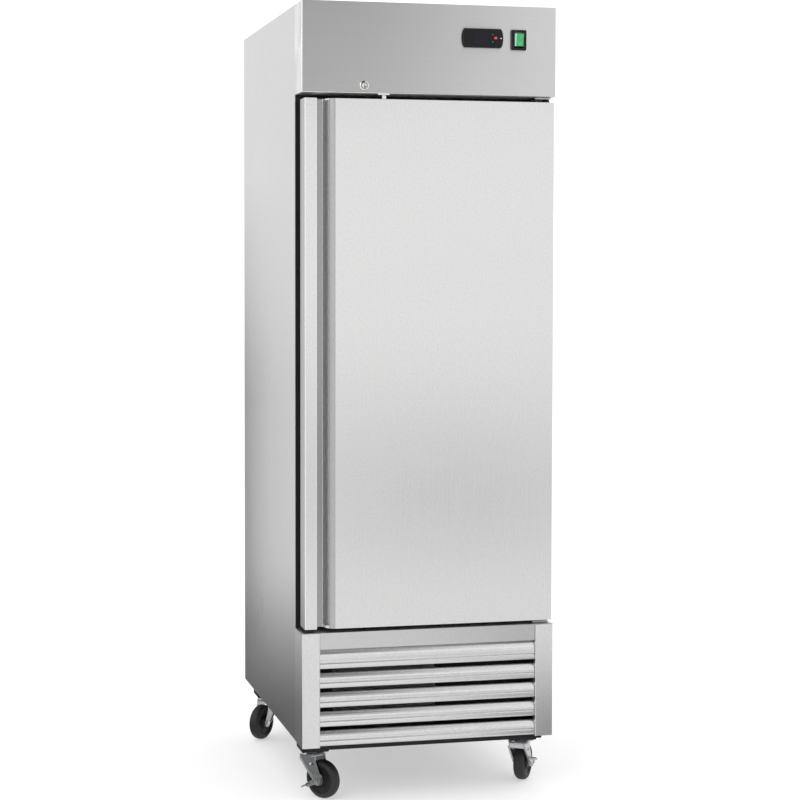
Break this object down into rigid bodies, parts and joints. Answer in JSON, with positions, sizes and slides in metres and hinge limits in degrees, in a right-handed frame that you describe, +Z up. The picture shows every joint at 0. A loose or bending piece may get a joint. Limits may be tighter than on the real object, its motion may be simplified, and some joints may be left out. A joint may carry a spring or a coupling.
{
  "type": "reach in refrigerator",
  "caption": "Upright stainless steel reach-in refrigerator with a solid hinged door, a recessed full-height handle, a louvred base and swivel casters.",
  "frame": {"origin": "on the floor, under the middle of the object's box", "axes": "+Z up, front and door face -Y, +X to the right of someone in front of the door"},
  "size_m": [0.712, 0.872, 2.095],
  "materials": {
    "stainless": "satin",
    "stainless_header": "satin",
    "aluminium": "satin",
    "foam": "matte",
    "frame_plastic": "matte",
    "gasket_rubber": "matte",
    "black_paint": "satin",
    "compressor_paint": "satin",
    "copper_fins": "satin",
    "fan_plastic": "matte",
    "controller_plastic": "gloss",
    "key_plastic": "matte",
    "rocker_green": "gloss",
    "nickel": "polished",
    "zinc": "satin",
    "wheel_rubber": "matte",
    "shelf_coating": "satin"
  },
  "bodies": {
    "cabinet": {"side_panel_left": "stainless", "side_panel_right": "stainless", "top_panel": "stainless", "back_panel": "stainless", "cabinet_insulation": "foam", "inner_liner": "aluminium", "front_frame": "frame_plastic", "header_panel": "stainless_header", "controller_housing": "controller_plastic", "switch_housing": "controller_plastic", "lock_barrel": "nickel", "grille_stile_left": "stainless", "grille_stile_right": "stainless", "grille_rail": "stainless", "louver_1": "stainless", "louver_2": "stainless", "louver_3": "stainless", "louver_4": "stainless", "louver_5": "stainless", "base_tray": "black_paint", "condenser_coil": "copper_fins", "condenser_shroud": "black_paint", "compressor": "compressor_paint", "cord_gland": "frame_plastic", "evaporator_cover": "aluminium", "evaporator_coil": "copper_fins", "shelf_post_front_left": "aluminium", "shelf_post_rear_left": "aluminium", "shelf_post_front_right": "aluminium", "shelf_post_rear_right": "aluminium", "shelf_1": "shelf_coating", "shelf_2": "shelf_coating", "shelf_3": "shelf_coating", "upper_hinge_bracket": "zinc", "lower_hinge_bracket": "zinc", "caster_plate_front_left": "black_paint", "caster_plate_front_right": "black_paint", "caster_plate_rear_left": "black_paint", "caster_plate_rear_right": "black_paint"},
    "door": {"door_outer_panel": "stainless", "door_insulation": "foam", "door_inner_panel": "aluminium", "door_gasket": "gasket_rubber"},
    "lock_plug": {"lock_plug": "nickel"},
    "lock_bolt": {"lock_bolt": "nickel"},
    "switch_rocker": {"switch_rocker": "rocker_green"},
    "button_up": {"button_up": "key_plastic"},
    "button_down": {"button_down": "key_plastic"},
    "condenser_fan": {"condenser_fan": "fan_plastic"},
    "evaporator_fan": {"evaporator_fan": "fan_plastic"},
    "fork_front_left": {"caster_fork_front_left": "zinc"},
    "wheel_front_left": {"caster_wheel_front_left": "wheel_rubber"},
    "pedal_front_left": {"brake_pedal_front_left": "zinc"},
    "fork_front_right": {"caster_fork_front_right": "zinc"},
    "wheel_front_right": {"caster_wheel_front_right": "wheel_rubber"},
    "pedal_front_right": {"brake_pedal_front_right": "zinc"},
    "fork_rear_left": {"caster_fork_rear_left": "zinc"},
    "wheel_rear_left": {"caster_wheel_rear_left": "wheel_rubber"},
    "fork_rear_right": {"caster_fork_rear_right": "zinc"},
    "wheel_rear_right": {"caster_wheel_rear_right": "wheel_rubber"}
  },
  "joints": [
    {"name": "door_hinge", "type": "hinge", "parent": "cabinet", "child": "door", "pos_m": [0.3265, -0.39, 1.157], "axis": [0, 0, 1], "range_deg": [0, 120], "stiffness_Nm_per_rad": 1.2},
    {"name": "lock_turn", "type": "hinge", "parent": "cabinet", "child": "lock_plug", "pos_m": [-0.1778, -0.424, 1.8797], "axis": [0, 1, 0], "range_deg": [0, 90]},
    {"name": "bolt_slide", "type": "slide", "parent": "cabinet", "child": "lock_bolt", "axis": [0, 0, -1], "range_m": [0, 0.012]},
    {"name": "power_switch", "type": "hinge", "parent": "cabinet", "child": "switch_rocker", "pos_m": [0.2384, -0.42, 2.0066], "axis": [-1, 0, 0], "range_deg": [0, 14]},
    {"name": "button_up_press", "type": "slide", "parent": "cabinet", "child": "button_up", "axis": [0, 1, 0], "range_m": [0, 0.0009], "stiffness_N_per_m": 600},
    {"name": "button_down_press", "type": "slide", "parent": "cabinet", "child": "button_down", "axis": [0, 1, 0], "range_m": [0, 0.0009], "stiffness_N_per_m": 600},
    {"name": "condenser_fan_spin", "type": "hinge", "parent": "cabinet", "child": "condenser_fan", "pos_m": [-0.095, -0.227, 0.27255], "axis": [0, 1, 0], "continuous": true},
    {"name": "evaporator_fan_spin", "type": "hinge", "parent": "cabinet", "child": "evaporator_fan", "pos_m": [0, -0.094, 1.9251], "axis": [0, 1, 0], "continuous": true},
    {"name": "swivel_front_left", "type": "hinge", "parent": "cabinet", "child": "fork_front_left", "pos_m": [-0.2895, -0.308, 0.1155], "axis": [0, 0, 1], "continuous": true},
    {"name": "roll_front_left", "type": "hinge", "parent": "fork_front_left", "child": "wheel_front_left", "pos_m": [-0.26734, -0.33637, 0.0508], "axis": [0.788, 0.6157, 0], "continuous": true},
    {"name": "brake_front_left", "type": "hinge", "parent": "fork_front_left", "child": "pedal_front_left", "pos_m": [-0.26734, -0.33637, 0.0508], "axis": [0.788, 0.6157, 0], "range_deg": [0, 57]},
    {"name": "swivel_front_right", "type": "hinge", "parent": "cabinet", "child": "fork_front_right", "pos_m": [0.2895, -0.308, 0.1155], "axis": [0, 0, 1], "continuous": true},
    {"name": "roll_front_right", "type": "hinge", "parent": "fork_front_right", "child": "wheel_front_right", "pos_m": [0.30989, -0.27833, 0.0508], "axis": [-0.8241, 0.5664, 0], "continuous": true},
    {"name": "brake_front_right", "type": "hinge", "parent": "fork_front_right", "child": "pedal_front_right", "pos_m": [0.30989, -0.27833, 0.0508], "axis": [0.8241, -0.5664, 0], "range_deg": [0, 57]},
    {"name": "swivel_rear_left", "type": "hinge", "parent": "cabinet", "child": "fork_rear_left", "pos_m": [-0.2895, 0.336, 0.1155], "axis": [0, 0, 1], "continuous": true},
    {"name": "roll_rear_left", "type": "hinge", "parent": "fork_rear_left", "child": "wheel_rear_left", "pos_m": [-0.31387, 0.3095, 0.0508], "axis": [0.7361, -0.6769, 0], "continuous": true},
    {"name": "swivel_rear_right", "type": "hinge", "parent": "cabinet", "child": "fork_rear_right", "pos_m": [0.2895, 0.336, 0.1155], "axis": [0, 0, 1], "continuous": true},
    {"name": "roll_rear_right", "type": "hinge", "parent": "fork_rear_right", "child": "wheel_rear_right", "pos_m": [0.31387, 0.3095, 0.0508], "axis": [0.7361, 0.6769, 0], "continuous": true}
  ],
  "couplings": [
    {"joint": "lock_turn", "follows": "bolt_slide", "rad_per_m": 130.9}
  ]
}
